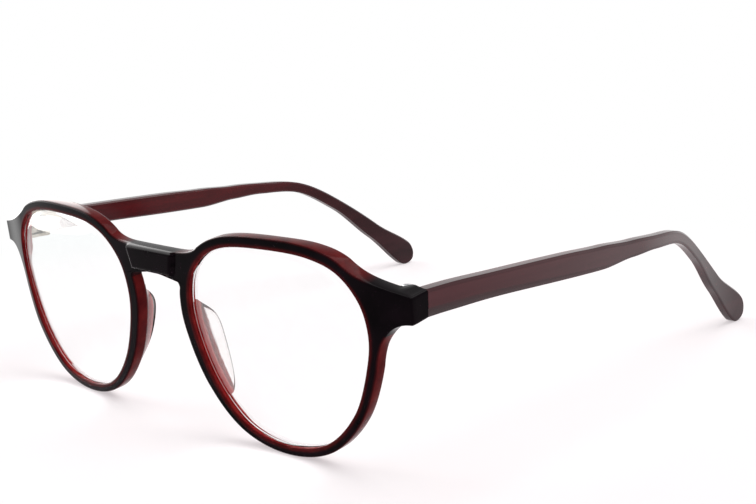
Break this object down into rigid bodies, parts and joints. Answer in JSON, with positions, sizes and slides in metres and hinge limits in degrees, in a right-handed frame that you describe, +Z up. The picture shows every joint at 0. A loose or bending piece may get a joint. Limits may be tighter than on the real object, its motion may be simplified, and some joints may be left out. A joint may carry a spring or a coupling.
{
  "type": "eyeglasses",
  "caption": "Acetate eyeglasses with crown-panto rims, a keyhole bridge, clear lenses and folding temples on screwed barrel hinges.",
  "frame": {"origin": "centre of the footprint, on the surface that the lower rims and the temple tips stand on", "axes": "+X to the viewer's right of the front, +Y from the front along the open temples, +Z up"},
  "size_m": [0.1424, 0.1604, 0.048],
  "materials": {
    "front_acetate": "polished near-black acetate with a burgundy cast",
    "clear_lens": "polished clear lens",
    "pad_acetate": "polished clear acetate, burgundy at the root",
    "hinge_metal": "tumbled nickel silver",
    "screw_metal": "turned steel",
    "temple_acetate": "polished mauve-brown acetate",
    "wire_metal": "drawn wire"
  },
  "bodies": {
    "front": {"front_frame": "front_acetate", "lens_right": "clear_lens", "lens_left": "clear_lens", "nose_pad_right": "pad_acetate", "nose_pad_left": "pad_acetate", "front_hinge_right": "hinge_metal", "front_hinge_left": "hinge_metal", "hinge_screw_right": "screw_metal", "hinge_screw_left": "screw_metal"},
    "temple_right_arm": {"temple_right": "temple_acetate", "core_wire_right": "wire_metal", "temple_hinge_right": "hinge_metal"},
    "temple_left_arm": {"temple_left": "temple_acetate", "core_wire_left": "wire_metal", "temple_hinge_left": "hinge_metal"}
  },
  "joints": [
    {"name": "right_temple_fold", "type": "hinge", "parent": "front", "child": "temple_right_arm", "pos_m": [0.0625, -0.06484, 0.03672], "axis": [0, 0, 1], "range_deg": [0, 92]},
    {"name": "left_temple_fold", "type": "hinge", "parent": "front", "child": "temple_left_arm", "pos_m": [-0.0625, -0.06484, 0.03672], "axis": [0, 0, -1], "range_deg": [0, 82]}
  ]
}
